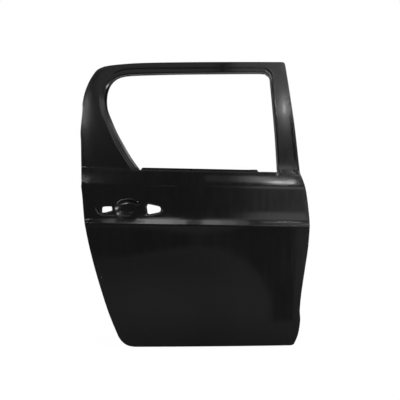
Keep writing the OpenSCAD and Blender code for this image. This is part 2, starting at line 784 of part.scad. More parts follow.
module check_reinforcement() {
    plate = 2;
    color(plate_tone) place()
        difference() {
            translate([check_x - t - plate, check_y - 23, -check_drop - 40]) cube([plate, 46, 80]);
            translate([check_x - 20, check_y - 13, -check_drop - 19]) cube([40, 26, 38]);
            for (s = [-1, 1])
                translate([check_x - 20, check_y, -check_drop + s * check_bolt_gap / 2])
                    rotate([0, 90, 0]) cylinder(r = check_bolt_r + 0.3, h = 40);
        }
}
module latch_reinforcement() {
    plate = 2;
    color(plate_tone) place()
        difference() {
            translate([latch_x + t, latch_y - 31, -latch_drop - 40]) cube([plate, 48, 80]);
            translate([latch_x - 20, latch_y - 9, -latch_drop - striker_slot_h / 2 - 1]) cube([40, 60, striker_slot_h + 2]);
            for (a = [180, 60, -60])
                translate([latch_x - 20, latch_y + latch_pcd / 2 * cos(a), -latch_drop + latch_pcd / 2 * sin(a)])
                    rotate([0, 90, 0]) cylinder(r = latch_screw_r + 0.3, h = 40);
        }
}
handle_plate_w = 20;
cup_clear = 6;
module handle_reinforcement() {
    color(plate_tone) place()
        between(skin_line(ledge_d + t + 0.2), skin_line(ledge_d + 2 * t + 0.4)) difference() {
            union() {
                offset(delta = 9) ledge();
                cup_mouth(handle_plate_w);
            }
            cup_mouth(cup_clear);
            handle_holes(-1.5);
        }
}

// Strip behind the web between the service openings, for the window regulator's rail
module regulator_reinforcement() {
    x0 = real_x(-84);
    color(plate_tone) place()
        difference() {
            between(face_line(-t - 1.5), face_line(-t))
                translate([x0, real_z(-290)]) square([real_x(38), hat_low - 22 - real_z(-290)]);
            for (z = [-270, -110, 30])
                translate([x0 + real_x(19), 60, real_z(z)]) rotate([-90, 0, 0]) cylinder(r = 4, h = 100);
        }
}
module armrest_bracket() {
    z0 = real_z(40);
    plate = 2;
    color(plate_tone) place()
        difference() {
            between(face_line(0), face_line(22)) translate([real_x(110), z0]) square([70, 44]);
            between(face_line(plate), flat_line(200)) translate([real_x(110) - 1, z0 + plate]) square([72, 60]);
        }
}

outer_panel();
inner_panel();
inner_hinge_side();
inner_frame();
header_run_channel();
front_run_channel();
front_lower_guide();
rear_lower_guide();
front_guide_bracket();
rear_guide_bracket();
outer_belt_reinforcement();
inner_belt_reinforcement();
impact_beam();
beam_front_bracket();
beam_rear_bracket();
beam_mastic_pads();
upper_hinge_reinforcement();
lower_hinge_reinforcement();
upper_hinge_nut_plate();
lower_hinge_nut_plate();
check_reinforcement();
latch_reinforcement();
handle_reinforcement();
regulator_reinforcement();
armrest_bracket();
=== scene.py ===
"""Looks of a bare vehicle rear door shell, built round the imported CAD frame."""

import bpy
import numpy as np
from bpy.props import FloatProperty, FloatVectorProperty, PointerProperty
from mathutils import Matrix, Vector


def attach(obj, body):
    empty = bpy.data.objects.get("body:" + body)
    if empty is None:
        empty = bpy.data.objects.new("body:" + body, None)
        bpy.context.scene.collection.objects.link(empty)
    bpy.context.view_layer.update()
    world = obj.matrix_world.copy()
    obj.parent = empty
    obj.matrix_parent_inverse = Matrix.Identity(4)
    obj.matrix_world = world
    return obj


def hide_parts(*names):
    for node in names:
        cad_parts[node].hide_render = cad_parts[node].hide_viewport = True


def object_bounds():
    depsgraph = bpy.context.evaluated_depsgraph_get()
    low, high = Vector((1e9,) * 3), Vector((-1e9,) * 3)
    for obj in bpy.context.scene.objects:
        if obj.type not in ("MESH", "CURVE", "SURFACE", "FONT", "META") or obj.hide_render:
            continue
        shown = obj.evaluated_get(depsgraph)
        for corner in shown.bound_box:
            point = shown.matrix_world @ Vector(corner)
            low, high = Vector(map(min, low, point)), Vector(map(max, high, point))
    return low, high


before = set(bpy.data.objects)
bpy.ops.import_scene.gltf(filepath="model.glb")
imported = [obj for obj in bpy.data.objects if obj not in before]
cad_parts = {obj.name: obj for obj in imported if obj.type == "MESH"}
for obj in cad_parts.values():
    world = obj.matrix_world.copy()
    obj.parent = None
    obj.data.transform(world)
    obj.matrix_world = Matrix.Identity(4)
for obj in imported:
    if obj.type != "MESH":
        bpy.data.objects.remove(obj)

bl_info = {
    "name": "Rear Door Shell",
    "version": (1, 0, 0),
    "blender": (4, 5, 0),
    "location": "View3D > Sidebar > Door Shell",
    "description": "Pressed sheets, runs, finishes and studio of a vehicle rear door shell",
    "category": "Object",
}

CAD_BOX = [list(corner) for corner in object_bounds()]

# Place of the drawing's origin, at the middle of the crease, in the frame of the part, in mm
PLACE = np.array([-458.0, -71.0049, 0.0])
CROWN = 5000.0
FALL = np.radians(0.8)

# Upright section of the skin: height, distance outboard of the crease, slope below, slope above
SECTION = np.array(
    [
        (-616, -54, 0.40, 0.40),
        (-540, -31, 0.22, 0.22),
        (-420, -16, 0.05, 0.05),
        (-180, -12, 0.03, 0.03),
        (-84, 0, 0.30, -0.62),
        (-68, -8.6, -0.48, -0.48),
        (-42, -15.6, -0.17, -0.17),
        (-18, -18.2, -0.06, -0.06),
        (75, -23, -0.05, -0.05),
        (88, -26, -0.36, -0.36),
        (130, -43.3, -0.46, -0.46),
        (155, -56, -0.54, -0.273),
        (380, -122, -0.313, -0.313),
        (640, -208, -0.348, -0.348),
    ],
    float,
)

# Edge of the door, stretch by stretch, clockwise as seen from outside
EDGE = [
    ([(-398, 609), (-348, 616), (-243, 623), (-58, 626), (206, 628), (384, 629)], 8),
    ([(384, 629), (393, 625), (397, 611)], 6),
    ([(397, 611), (409, 519), (430, 341), (445, 166), (449, 133)], 12),
    (
        [(449, 133), (462, 97), (473, 50), (483, -35), (485, -85), (480, -174), (465, -275),
         (450, -377), (444, -445), (446, -490), (438, -548), (425, -583)],
        8,
    ),
    ([(425, -583), (419, -594), (408, -598)], 6),
    ([(408, -598), (21, -601), (-234, -603.5)], 30),
    ([(-234, -603.5), (-262, -603), (-288, -597), (-309, -582), (-325, -560)], 6),
    (
        [(-325, -560), (-364, -461), (-397, -360), (-427, -258), (-452, -157), (-470, -55),
         (-478, 29), (-484, 80)],
        12,
    ),
    ([(-484, 80), (-483, 97), (-487, 166), (-492, 271), (-495, 320), (-490, 405), (-491, 440)], 10),
    ([(-491, 440), (-484, 484), (-473, 520), (-457, 556), (-431, 593), (-398, 609)], 8),
]

# Window, as pairs of points: the edge of the skin and the edge that light passes
WINDOW = np.array(
    [
        [(-264, 150), (-236, 150)],
        [(-299, 200), (-274, 202)],
        [(-333, 254), (-306, 256)],
        [(-364, 317), (-338, 312)],
        [(-388, 374), (-364, 370)],
        [(-403, 415), (-381, 413)],
        [(-410, 462), (-386, 452)],
        [(-402, 508), (-383, 490)],
        [(-384, 547), (-371, 524)],
        [(-358, 574), (-345, 552)],
        [(-318, 591), (-306, 565)],
        [(-250, 597), (-240, 569)],
        [(-60, 598), (-60, 573)],
        [(130, 599), (130, 575)],
        [(292, 599), (288, 577)],
        [(316, 593), (311, 571)],
        [(331, 577), (325, 559)],
        [(337, 546), (329, 530)],
        [(345, 410), (338, 400)],
        [(352, 290), (345, 290)],
        [(357, 180), (350, 170)],
        [(359, 137), (352, 137)],
    ],
    float,
)

SASH = np.array([(348, 129), (460, 129), (430, 560), (332, 560)], float)
HANDLE = np.array([-284.0, -17.0])
LEDGE = np.array(
    [(-0.5, -2), (-0.5, 6), (-0.46, 20), (-0.36, 28), (0, 32), (0.4, 33), (0.48, 27), (0.5, 8),
     (0.49, -6), (0.44, -18), (0.3, -27), (0, -30), (-0.4, -28), (-0.46, -20)]
) * (292, 1) + (8, 0) + HANDLE
REAR_HOLE = np.array([(-109, 5), (-106, 10), (-92, 12), (-67, 12), (-67, -8), (-92, -15), (-107, -17),
                      (-110, -12)], float) + HANDLE
FRONT_HOLE = np.array([(79, 10), (84, 22), (103, 19), (134, 12), (141, 4), (140, -10), (132, -15),
                       (94, -23), (84, -21), (81, -3)], float) + HANDLE
GARNISH_HOLE = np.array([424.0, 143.0])


# Lamps of the studio: name, place, what it faces, width, height, radiance
SOFTBOXES = (
    ("header_strip", (-0.72, -0.42, 1.18), (-0.72, 0.13, 0.6), 0.8, 0.34, 0.85),
    ("header_front", (0.0, -0.42, 1.18), (0.0, 0.13, 0.6), 0.45, 0.34, 1.6),
    ("right_lamp", (0.9, -2.92, 2.97), (-0.2, 0.0, 0.2), 0.06, 0.06, 640.0),
    ("left_lamp", (-2.35, -2.92, 3.06), (-0.8, 0.0, 0.2), 0.18, 0.12, 90.0),
    ("upper_right", (1.11, -1.2, 2.6), (-0.82, -0.1, 0.3), 0.95, 0.95, 10.0),
    ("right_card", (0.95, -3.6, 1.32), (-0.2, 0.0, 0.0), 1.3, 1.5, 2.4),
    ("side_strip", (2.2, -1.6, -0.1), (-0.7, 0.0, 0.0), 1.3, 1.6, 38.0),
)
# Cards hung close to the door, in runs of X and radiance. Distance from the door and height of the near and
# the far edge are in mm. A card faces down, and only the skin below its plane mirrors it, or up with the
# edges the other way round.
NEAR, MIDDLE, AWAY = (60, 80), (330, 210), (900, 400)
CARD_RUNS = (
    ("crease", NEAR, MIDDLE, ((-430, 2.5), (-375, 4.0), (-290, 9.0), (-110, 6.3), (-40, 1.3), (35, 5.8), (125, 3.8),
                              (195, 2.0), (262, 0.0))),
    ("crease_away", MIDDLE, AWAY, ((-270, 4.0), (-90, 0.0), (55, 1.3), (290, 0.0))),
    ("belt", (76, 266), (72, 198), ((49, 0.55), (167, 1.2), (200, 2.2), (232, 3.5), (262, 4.8), (290, 6.0),
                                    (360, 4.3), (392, 2.6), (480, 0.0))),
    ("shoulder", (52, 195), (112, 240), ((322, 9.0), (345, 24.0), (366, 42.0), (420, 6.0), (437, 13.0), (465, 0.0))),
    ("cup", (46, -70), (26, -70), ((-304, 32.0), (-264, 0.0))),
)
CARDS = [
    (f"card_{name}_{i}", (start, end), near, far, radiance)
    for name, near, far, run in CARD_RUNS
    for i, ((start, radiance), (end, _)) in enumerate(zip(run, run[1:]))
    if radiance
]
# Cards in front of the finger cup: name, X, height and Y from and to, in mm, radiance
CUP_CARDS = (
    ("cup_flag", (-350, -218), (-14, 46), (-30, -30), 0.2),
)
# Dark flag close in front of the lower panel, as a run of columns: x, lower edge and upper edge, in mm
FLAG_AT = (-250.0, -250.0)
FLAG = (
    (-600, -262, -60),
    (-330, -240, -60),
    (-120, -212, -60),
    (20, -200, -60),
    (150, -222, -60),
    (260, -262, -60),
    (330, -330, -60),
    (372, -420, -60),
    (390, -640, -60),
    (476, -640, -60),
    (500, -640, -240),
)


# ---------------------------------------------------------------- shapes


def rise(v, lo, hi):
    """Smooth step: 0 below lo, 1 above hi, 3s^2 - 2s^3 between."""
    s = np.clip((v - lo) / (hi - lo), 0, 1)
    return s * s * (3 - 2 * s)


def chain(points, steps):
    """Catmull-Rom curve through the points, sampled steps times a span, without its last point."""
    p = np.asarray(points, float)
    q = np.concatenate([p[:1], p, p[-1:]])
    s = (np.arange(steps) / steps).reshape(1, -1, *[1] * (p.ndim - 1))
    a, b, c, d = q[:-3, None], q[1:-2, None], q[2:-1, None], q[3:, None]
    curve = b + (c - a) * s / 2 + (2 * a - 5 * b + 4 * c - d) * s**2 / 2
    curve = curve + (3 * b - a - 3 * c + d) * s**3 / 2
    return curve.reshape(-1, *p.shape[1:])


def evenly(line, step, closed=True):
    """The line again with points about a step apart along its length."""
    p = np.concatenate([line, line[:1]]) if closed else np.asarray(line, float)
    run = np.concatenate([[0], np.cumsum(np.linalg.norm(np.diff(p, axis=0), axis=1))])
    at = np.linspace(0, run[-1], max(8, int(run[-1] / step)) + 1)
    at = at[:-1] if closed else at
    return np.column_stack([np.interp(at, run, p[:, k]) for k in range(p.shape[1])])


def inward(line, closed=True):
    """Unit vectors to the right of a line's direction, which is inward on a clockwise loop."""
    if closed:
        way = np.roll(line, -1, 0) - np.roll(line, 1, 0)
    else:
        way = np.gradient(line, axis=0)
    way /= np.linalg.norm(way, axis=1)[:, None]
    return np.column_stack([way[:, 1], -way[:, 0]])


def depth_in(points, loop):
    """Distance of each point from a closed line, positive inside it: nearest of all its segments."""
    a, b = loop, np.roll(loop, -1, 0)
    e = b - a
    length = np.maximum((e * e).sum(1), 1e-12)
    rises = np.where(e[:, 1] == 0, 1e-12, e[:, 1])
    parts = []
    for p in np.array_split(points, max(1, len(points) * len(loop) // 2_000_000)):
        w = p[:, None] - a
        t = np.clip((w * e).sum(2) / length, 0, 1)
        near = np.sqrt(((w - t[..., None] * e) ** 2).sum(2).min(1))
        spans = (a[:, 1] <= p[:, None, 1]) != (b[:, 1] <= p[:, None, 1])
        crossed = p[:, None, 0] < a[:, 0] + w[..., 1] * e[:, 0] / rises
        parts.append(np.where((spans & crossed).sum(1) % 2 == 1, near, -near))
    return np.concatenate(parts)


DOOR = np.concatenate([chain(points, steps) for points, steps in EDGE])
DOOR_COARSE = evenly(DOOR, 14)
PAIRS = np.concatenate([chain(WINDOW, 10), WINDOW[-1:]])
WINDOW_SKIN, WINDOW_LIGHT = PAIRS[:, 0], PAIRS[:, 1]


def skin_u(z):
    """Distance outboard of the crease: a cubic curve between the stations of the section."""
    i = np.clip(np.searchsorted(SECTION[:, 0], z, side="right") - 1, 0, len(SECTION) - 2)
    a, b = SECTION[i], SECTION[i + 1]
    h = b[..., 0] - a[..., 0]
    s = np.clip((z - a[..., 0]) / h, 0, 1)
    u = (2 * s**3 - 3 * s**2 + 1) * a[..., 1] + (s**3 - 2 * s**2 + s) * h * a[..., 3]
    u = u + (3 * s**2 - 2 * s**3) * b[..., 1] + (s**3 - s**2) * h * b[..., 2]
    u = u + np.minimum(z - SECTION[0, 0], 0) * SECTION[0, 2]
    return u + np.maximum(z - SECTION[-1, 0], 0) * SECTION[-1, 3]


def skin_y(x, z, soft=4.0):
    """The skin's outboard face: the section, rounded over a few mm at the crease, bent round the crown."""
    along = x * np.cos(FALL) - z * np.sin(FALL)
    up = x * np.sin(FALL) + z * np.cos(FALL)
    soft = soft - 3.4 * rise(up, 100, 148)
    u = sum(skin_u(up + soft * k / 3) for k in range(-3, 4)) / 7
    return CROWN - np.sqrt((CROWN + u) ** 2 - along**2)


def put(name, points, faces, sheet=0.0, sharp=None):
    """A piece from points in mm and faces, smooth-shaded, with Solidify where it is a sheet."""
    mesh = bpy.data.meshes.new(name)
    mesh.from_pydata((np.asarray(points) + PLACE) / 1000, [], faces)
    mesh.validate()
    mesh.shade_smooth()
    if sharp is not None:
        mesh.set_sharp_from_angle(angle=np.radians(sharp))
    piece = bpy.data.objects.new(name, mesh)
    bpy.context.scene.collection.objects.link(piece)
    if sheet:
        corner_edges = np.empty(len(mesh.loops), np.int32)
        mesh.loops.foreach_get("edge_index", corner_edges)
        mesh.edges.foreach_set("use_edge_sharp", np.bincount(corner_edges, minlength=len(mesh.edges)) == 1)
        wall = piece.modifiers.new("wall", "SOLIDIFY")
        wall.thickness = abs(sheet) / 1000
        wall.offset = -1 if sheet > 0 else 1
        wall.thickness_clamp = 1.0
    return piece


def band_faces(n, m, closed, round_profile, first=0):
    """Quads of a profile of m points carried along n places, closed along the path or round the profile."""
    i, j = np.meshgrid(np.arange(n if closed else n - 1), np.arange(m if round_profile else m - 1), indexing="ij")
    i2, j2 = (i + 1) % n, (j + 1) % m
    quads = np.stack([i * m + j, i * m + j2, i2 * m + j2, i2 * m + j], -1).reshape(-1, 4)
    return quads + first


def fitted(xs, zs, region):
    """Grid of places in a region: points near the region's edge slide onto it, the cells outside go.

    The slide is the region's signed distance times its gradient, taken by small differences; a point
    slides when it lies within about half a cell of the edge, measured along that gradient."""
    gx, gz = np.meshgrid(xs, zs, indexing="ij")
    cell = np.column_stack([c.ravel() for c in np.meshgrid(np.gradient(xs), np.gradient(zs), indexing="ij")])
    p = np.column_stack([gx.ravel(), gz.ravel()])

    def slope(q):
        return np.column_stack([region(q + d) - region(q - d) for d in ((0.05, 0), (0, 0.05))]) / 0.1

    s = region(p)
    near = np.flatnonzero(np.abs(s) < 0.62 * cell.max(1))
    g = slope(p[near])
    reach = (np.abs(g) * cell[near]).sum(1) / np.maximum(np.linalg.norm(g, axis=1), 0.7)
    near = near[np.abs(s[near]) < 0.55 * reach]
    far = 0.7 * cell[near].max(1)[:, None]
    for _ in range(2):
        q = p[near]
        g = slope(q)
        slide = region(q)[:, None] * g / np.maximum((g * g).sum(1), 0.5)[:, None]
        p[near] -= np.clip(slide, -far, far)
    kept = (region(p) > -0.2).reshape(gx.shape)
    n, m = gx.shape
    i, j = np.meshgrid(np.arange(n - 1), np.arange(m - 1), indexing="ij")
    corners = np.stack([i * m + j, (i + 1) * m + j, (i + 1) * m + j + 1, i * m + j + 1], -1).reshape(-1, 4)
    held = kept.ravel()[corners]
    quads = corners[held.all(1)]
    three = corners[held.sum(1) == 3]
    tris = three[held[held.sum(1) == 3]].reshape(-1, 3)
    used, place = np.unique(np.concatenate([quads.ravel(), tris.ravel()]), return_inverse=True)
    quads = place[: quads.size].reshape(-1, 4)
    tris = place[quads.size :].reshape(-1, 3)
    return p[used], quads.tolist() + tris.tolist()


# ---------------------------------------------------------------- the outer panel's face


def sash_depth(p):
    """Depth of the sash recess: full inside its outline, eased out over 5 mm, shallower towards the roof,
    with the strip's own slight crown across it."""
    deep = np.minimum(depth_in(p, DOOR_COARSE) - 11, depth_in(p, SASH))
    full = 2.2 * (1 - rise(p[:, 1], 140, 556)) + 1e-4 * (p[:, 0] - 388) ** 2
    return full * rise(deep, 0, 4.5)


def handle_depth(p):
    """Depth of the handle's ledge and of its finger cup, joined by a soft edge, and of the holes' turned edges.

    The cup is an egg: its depth falls from its deepest point, above the middle, to its rim, by the share
    of the way between them along the ray from the deepest point."""
    ledge = 1.5 * rise(depth_in(p, LEDGE), -1.0, 4.0)
    deepest = np.array([0.0, 0.25])
    q = (p - HANDLE + (0, 2)) / (60.6, 46.5) - deepest
    qq, sq = np.maximum((q * q).sum(1), 1e-9), q @ deepest
    share = qq / (np.sqrt(sq**2 + qq * (1 - deepest @ deepest)) - sq)
    cup = 24.0 * (1 - np.minimum(share, 1.2) ** 2.6) - 3.0
    join = 2.0
    gap = (cup - ledge) / join
    cup = ledge + join * np.where(gap > 20, gap, np.log1p(np.exp(np.clip(gap, -40, 20))))
    turned = np.clip(1 + np.maximum(depth_in(p, REAR_HOLE), depth_in(p, FRONT_HOLE)) / 5.5, 0, 1)
    return cup + 8.0 * turned**2


def edge_roll(p):
    """The sheet eases inboard by a millimetre over its last 45 mm before the hem, and by a small pressed
    step 40 mm above the sill."""
    away = np.clip(1 - depth_in(p, DOOR_COARSE) / 45, 0, 1)
    return 1.1 * away**2 - 0.9 * (1 - rise(p[:, 1], -564, -555))


def face_y(p, handle=False):
    """Outboard face of the outer panel, with what is pressed into it."""
    y = skin_y(p[:, 0], p[:, 1]) + sash_depth(p) + edge_roll(p)
    return y + handle_depth(p) if handle else y


def with_y(p, y):
    return np.column_stack([p[:, 0], y, p[:, 1]])


def box_depth(p, x0, z0, x1, z1):
    """Signed distance inside an upright box."""
    return np.minimum(np.minimum(p[:, 0] - x0, x1 - p[:, 0]), np.minimum(p[:, 1] - z0, z1 - p[:, 1]))


def grid_line(*spans):
    """Places along an axis: each span is its start, its end and its spacing."""
    parts = [np.arange(a, b, (b - a) / round((b - a) / step)) for a, b, step in spans]
    return np.concatenate(parts + [[spans[-1][1]]])


HANDLE_BOX = (-452.0, -76.0, -108.0, 44.0)


# ---------------------------------------------------------------- shader expressions


class Value:
    """A socket, or a number, that can be added, multiplied and so on; each operation adds its Math node."""

    def __init__(self, tree, socket):
        self.tree, self.socket = tree, socket

    def _with(self, operation, *others):
        values = [o.socket if isinstance(o, Value) else o for o in others]
        return self.tree.node("ShaderNodeMath", {"operation": operation}, self.socket, *values)

    def __add__(self, o):
        return self._with("ADD", o)

    def __sub__(self, o):
        return self._with("SUBTRACT", o)

    def __mul__(self, o):
        return self._with("MULTIPLY", o)

    def __rsub__(self, o):
        return (self * -1) + o

    __radd__, __rmul__ = __add__, __mul__

    def ramp(self, lo, hi):
        """0 at lo, 1 at hi, smooth between."""
        return self.tree.node("ShaderNodeMapRange", {"interpolation_type": "SMOOTHSTEP"}, self.socket, lo, hi)


class Finish:
    """A material under construction: node() makes any node from its type, settings and inputs."""

    def __init__(self, name):
        self.material = bpy.data.materials.new(name)
        self.material.use_nodes = True
        self.tree = self.material.node_tree
        self.tree.nodes.clear()
        self.place = self.node("ShaderNodeTexCoord", {}, out="Object")

    def node(self, kind, settings, *inputs, out=0, **named):
        node = self.tree.nodes.new(kind)
        for key, value in settings.items():
            setattr(node, key, value)
        pairs = list(zip(node.inputs, inputs)) + [(node.inputs[k.replace("_", " ")], v) for k, v in named.items()]
        for socket, value in pairs:
            value = value.socket if isinstance(value, Value) else value
            if isinstance(value, bpy.types.NodeSocket):
                self.tree.links.new(value, socket)
            elif value is not None:
                socket.default_value = value
        return Value(self, node.outputs[out])

    def noise(self, scale, detail=2.0, roughness=0.5):
        return self.node("ShaderNodeTexNoise", {}, Vector=self.place, Scale=scale, Detail=detail, Roughness=roughness)

    def mix(self, factor, a, b):
        """Colour a where the factor is 0, b where it is 1."""
        node = self.tree.nodes.new("ShaderNodeMix")
        node.data_type = "RGBA"
        self.tree.links.new(factor.socket, node.inputs[0])
        for socket, value in ((node.inputs[6], a), (node.inputs[7], b)):
            if isinstance(value, Value):
                self.tree.links.new(value.socket, socket)
            else:
                socket.default_value = (*value, 1.0)
        return Value(self, node.outputs[2])

    def bump(self, height, strength, distance):
        return self.node("ShaderNodeBump", {}, Strength=strength, Distance=distance, Height=height)

    def done(self, colour, roughness, normal, metallic=0.0, specular=0.5, coat=0.0):
        shader = self.node(
            "ShaderNodeBsdfPrincipled", {}, Base_Color=colour, Roughness=roughness, Normal=normal,
            Metallic=metallic, Specular_IOR_Level=specular, Coat_Weight=coat,
        )
        self.node("ShaderNodeOutputMaterial", {}, shader, out=0) if False else None
        end = self.tree.nodes.new("ShaderNodeOutputMaterial")
        self.tree.links.new(shader.socket, end.inputs[0])
        return self.material


def primer(name, colour, gloss):
    """Satin black primer: cloudy tone, fine orange-peel bump, faint wiping streaks and dust in the roughness."""
    f = Finish(name)
    clouds = f.noise(3.0, 4.0).ramp(0.35, 0.65)
    grain = f.noise(420.0, 3.0)
    streaks = f.node("ShaderNodeMapping", {}, Vector=f.place, Scale=(26.0, 26.0, 3.0))
    streaks = f.node("ShaderNodeTexNoise", {}, Vector=streaks, Scale=2.2, Detail=5.0, Roughness=0.6).ramp(0.35, 0.7)
    dark = tuple(0.72 * c for c in colour)
    pale = tuple(1.3 * c for c in colour)
    tone = f.mix(clouds * 0.7 + streaks * 0.3, dark, pale)
    rough = gloss + clouds * 0.04 + streaks * 0.05 + (grain - 0.5) * 0.05
    peel = f.noise(190.0, 2.0) * 0.7 + grain * 0.3
    return f.done(tone, rough, f.bump(peel, 0.04, 0.0006), specular=0.22)


# ---------------------------------------------------------------- sizes and colours a user changes


class DoorShellSizes(bpy.types.PropertyGroup):
    hem_inset: FloatProperty(name="Hem width", description="Width of the folded hem in mm", default=11.0, min=9, max=12)
    step_depth: FloatProperty(name="Moulding step", description="Depth of the step round the window in mm", default=4.0, min=3, max=5)
    run_depth: FloatProperty(name="Run depth", description="Depth of the return flange behind the skin in mm", default=12.0, min=10, max=13)
    flange_height: FloatProperty(name="Belt flange", description="Height of the belt flange in mm", default=10.0, min=6, max=12)
    sheet: FloatProperty(name="Sheet", description="Thickness of the pressed sheet in mm", default=1.0, min=0.8, max=1.1)


class DoorShellFinish(bpy.types.PropertyGroup):
    outer: FloatVectorProperty(name="Outer coat", description="Colour of the outer panel's primer", subtype="COLOR", default=(0.0032, 0.0032, 0.0034), min=0, max=1)
    inner: FloatVectorProperty(name="Inner coat", description="Colour of the inner panel's primer", subtype="COLOR", default=(0.004, 0.004, 0.0042), min=0, max=1)
    plate: FloatVectorProperty(name="Plate coat", description="Colour of the primer on plates and channels", subtype="COLOR", default=(0.008, 0.008, 0.0082), min=0, max=1)
    gloss: FloatProperty(name="Roughness", description="Roughness of the primer", default=0.135, min=0.05, max=1)


def sizes():
    return bpy.context.scene.door_shell_sizes


def finish():
    return bpy.context.scene.door_shell_finish


def coat(which):
    """The primer of the outer panel, inner panel or plates, made once."""
    name = which + "_primer"
    extra = {"outer": 0.0, "inner": 0.06, "plate": 0.1}[which]
    return bpy.data.materials.get(name) or primer(name, getattr(finish(), which), finish().gloss + extra)


def rubber():
    """Matt near-black finish for the run channels, darker than the plates' primer as painted shade of their recess: a
    faint cloudy tone, a fine grain and a low sheen.
    """
    f = Finish("run_rubber")
    grain = f.noise(600.0, 3.0)
    # The near-black colours are painted shade of the recessed run channels.
    tone = f.mix(f.noise(20.0, 3.0).ramp(0.3, 0.7), (0.0006, 0.0006, 0.0006), (0.0014, 0.0014, 0.0015))
    return f.done(tone, 0.6 + grain * 0.2, f.bump(grain, 0.1, 0.0004), specular=0.06)


def settle(piece, node, which):
    piece.data.materials.append(coat(which))
    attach(piece, "root")
    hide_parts(node)


class DOOR_OT_outer_skin(bpy.types.Operator):
    """Main sheet of the outer panel: the skin surface on a grid fitted between the hem, the window and the handle"""

    bl_idname = "door_shell.outer_skin"
    bl_label = "Outer skin"

    def execute(self, context):
        x0, z0, x1, z1 = HANDLE_BOX
        xs = grid_line((-500, x0, 5.0), (x0, x1, 5.0), (x1, 335, 5.0), (335, 495, 3.0))
        zs = grid_line((-610, -567, 6.0), (-567, -551, 2.0), (-551, -98, 6.0), (-98, z0, 1.6), (z0, -20, 1.6), (-20, z1, 4.0), (z1, 170, 2.6), (170, 640, 5.0))
        around = np.concatenate([WINDOW_SKIN, [(359, 132), (-264, 145)]])

        def region(p):
            edges = np.minimum(depth_in(p, DOOR_COARSE) - 12, -depth_in(p, around) - 5.5)
            hole = np.linalg.norm(p - GARNISH_HOLE, axis=1) - 4.5
            return np.minimum(np.minimum(edges, hole), -box_depth(p, *HANDLE_BOX))

        p, faces = fitted(xs, zs, region)
        piece = put("outer_skin", with_y(p, face_y(p) + 0.03), faces, sizes().sheet)
        settle(piece, "outer_panel", "outer")
        return {"FINISHED"}


class DOOR_OT_handle_recess(bpy.types.Operator):
    """Ledge, finger cup and the two openings of the outside handle, on a finer grid of the same surface"""

    bl_idname = "door_shell.handle_recess"
    bl_label = "Handle recess"

    def execute(self, context):
        x0, z0, x1, z1 = HANDLE_BOX
        xs, zs = grid_line((x0 - 0.4, x1 + 0.4, 1.5)), grid_line((z0 - 0.4, z1 + 0.4, 1.4))

        def region(p):
            return np.minimum(-depth_in(p, REAR_HOLE), -depth_in(p, FRONT_HOLE))

        p, faces = fitted(xs, zs, region)
        piece = put("handle_recess", with_y(p, face_y(p, True) + 0.06), faces, sizes().sheet)
        settle(piece, "outer_panel", "outer")
        return {"FINISHED"}


class DOOR_OT_hem(bpy.types.Operator):
    """Folded hem: a profile of the sheet's round edge and its return, carried along the door's edge"""

    bl_idname = "door_shell.hem"
    bl_label = "Hem"

    def execute(self, context):
        w = sizes().hem_inset
        profile = np.array(
            [(16, 0), (12, 0), (8, 0), (5, 0), (3, 0), (1.9, 0.06), (1.1, 0.3), (0.45, 0.75), (0.08, 1.3), (0, 1.65),
             (0.08, 2.0), (0.45, 2.55), (1.1, 3.0), (1.9, 3.24), (3, 3.3), (w - 0.3, 3.3), (w, 3.1), (w, 2.4),
             (2.6, 2.4), (2.2, 1.7), (2.6, 1.0), (16, 1.0)]
        )
        path = evenly(DOOR, 3.5)
        side = inward(path)
        p = path[:, None] + side[:, None] * profile[:, 0, None]
        flat = p.reshape(-1, 2)
        y = face_y(flat) + np.tile(profile[:, 1], len(path))
        faces = band_faces(len(path), len(profile), True, True)
        piece = put("outer_hem", with_y(flat, y), faces.tolist(), sharp=50)
        settle(piece, "outer_panel", "outer")
        return {"FINISHED"}


